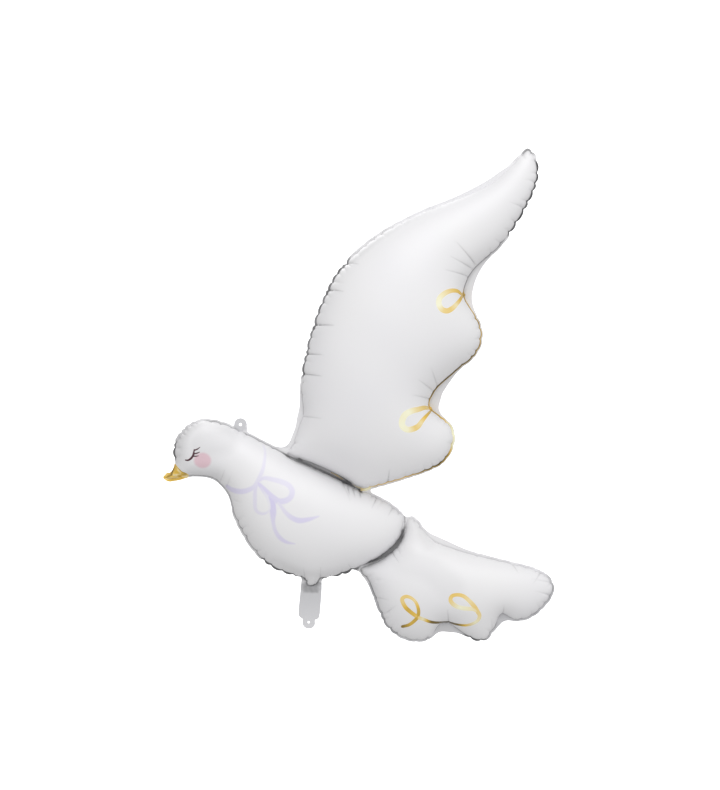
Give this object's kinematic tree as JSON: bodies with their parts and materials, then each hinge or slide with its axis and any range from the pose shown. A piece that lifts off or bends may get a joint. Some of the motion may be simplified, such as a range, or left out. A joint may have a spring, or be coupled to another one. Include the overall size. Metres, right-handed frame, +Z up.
{
  "type": "dove foil balloon",
  "caption": "Inflated foil balloon shaped as a flying dove, with a raised wing, a tail, a weld flange all round, a hang tab at the nape and a filling neck below.",
  "frame": {"origin": "centre of the hang tab's hole, midway through the film", "axes": "+Z up towards the wing tip, +X towards the tail, the printed front faces -Y"},
  "size_m": [0.6461, 0.1836, 0.8156],
  "materials": {
    "satin_white_foil": "pearly satin white metallised film, printed in pale lilac, blush and gold"
  },
  "bodies": {
    "root": {"foil_envelope": "satin_white_foil"}
  },
  "joints": []
}
